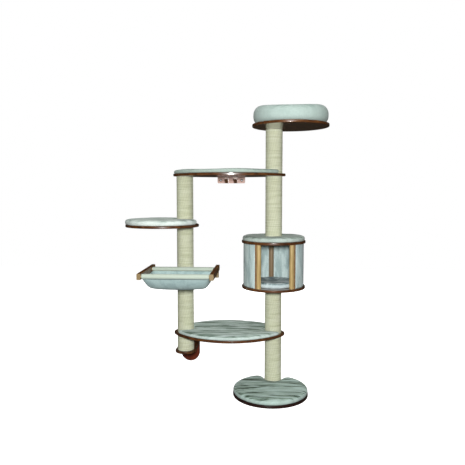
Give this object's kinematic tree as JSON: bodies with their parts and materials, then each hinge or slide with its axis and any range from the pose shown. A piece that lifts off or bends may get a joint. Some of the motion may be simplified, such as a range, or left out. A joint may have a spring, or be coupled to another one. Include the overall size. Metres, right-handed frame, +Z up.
{
  "type": "wall mounted cat tree",
  "caption": "Wall mounted cat tree: sisal posts joined by leaf-shaped padded shelves, with a round base, a side shelf, a hammock, a round cabin and a plush bed on top.",
  "frame": {"origin": "middle of the base board's underside, on the floor", "axes": "+X to the right as seen from the room, +Y towards the wall, +Z up"},
  "size_m": [1.4173, 0.7115, 1.9513],
  "materials": {
    "lacquered_board": "glossy dark mahogany lacquer",
    "golden_wood": "clear gloss lacquer",
    "raw_wood": "bare sawn wood",
    "paper_tube": "bare wound paper tube",
    "bent_board": "bare bent fibre board",
    "plush": "short-pile plush, pale grey-green",
    "pale_plush": "short-pile plush, near white",
    "sisal_rope": "natural twisted sisal rope, close wound",
    "steel": "zinc plated"
  },
  "bodies": {
    "tree": {"base_board": "lacquered_board", "base_pad": "plush", "main_post_tube_1": "paper_tube", "main_post_tube_2": "paper_tube", "main_post_tube_3": "paper_tube", "main_post_tube_4": "paper_tube", "main_post_sisal_1": "sisal_rope", "main_post_sisal_2": "sisal_rope", "main_post_sisal_3": "sisal_rope", "main_post_sisal_4": "sisal_rope", "left_post_tube_1": "paper_tube", "left_post_tube_2": "paper_tube", "left_post_tube_3": "paper_tube", "left_post_sisal_1": "sisal_rope", "left_post_sisal_2": "sisal_rope", "left_post_sisal_3": "sisal_rope", "post_end_plugs": "raw_wood", "threaded_inserts": "steel", "joining_studs": "steel", "connector_bolts": "steel", "bolt_washers": "steel", "lower_shelf_board": "lacquered_board", "lower_shelf_pad": "plush", "upper_shelf_board": "lacquered_board", "upper_shelf_pad": "pale_plush", "side_shelf_board": "lacquered_board", "side_shelf_pad": "plush", "cabin_floor_board": "lacquered_board", "cabin_cushion": "pale_plush", "cabin_roof_board": "lacquered_board", "cabin_roof_pad": "plush", "cabin_pillar_right_door": "golden_wood", "cabin_pillar_right_side": "golden_wood", "cabin_pillar_rear": "golden_wood", "cabin_pillar_left_side": "golden_wood", "cabin_pillar_left_door": "golden_wood", "cabin_panel_right": "bent_board", "cabin_panel_rear_right": "bent_board", "cabin_panel_rear_left": "bent_board", "cabin_panel_left": "bent_board", "cabin_plush_right": "plush", "cabin_plush_rear_right": "plush", "cabin_plush_rear_left": "plush", "cabin_plush_left": "plush", "cabin_screws": "steel", "bed_board": "lacquered_board", "hammock_left_rail": "lacquered_board", "hammock_right_rail": "lacquered_board", "hammock_dowels": "golden_wood", "hammock_rear_bar": "lacquered_board", "hammock_post_block": "raw_wood", "hammock_sling": "plush", "hammock_screws": "steel", "upper_wall_plate": "lacquered_board", "upper_bracket_ribs": "lacquered_board", "foot_wall_plate": "lacquered_board", "foot_bracket_board": "lacquered_board", "bracket_screws": "steel"},
    "bed": {"bed_ring": "pale_plush", "bed_cushion": "pale_plush"}
  },
  "joints": [
    {"name": "bed_lift", "type": "slide", "parent": "tree", "child": "bed", "axis": [0, 0, 1], "range_m": [0, 0.15]}
  ]
}
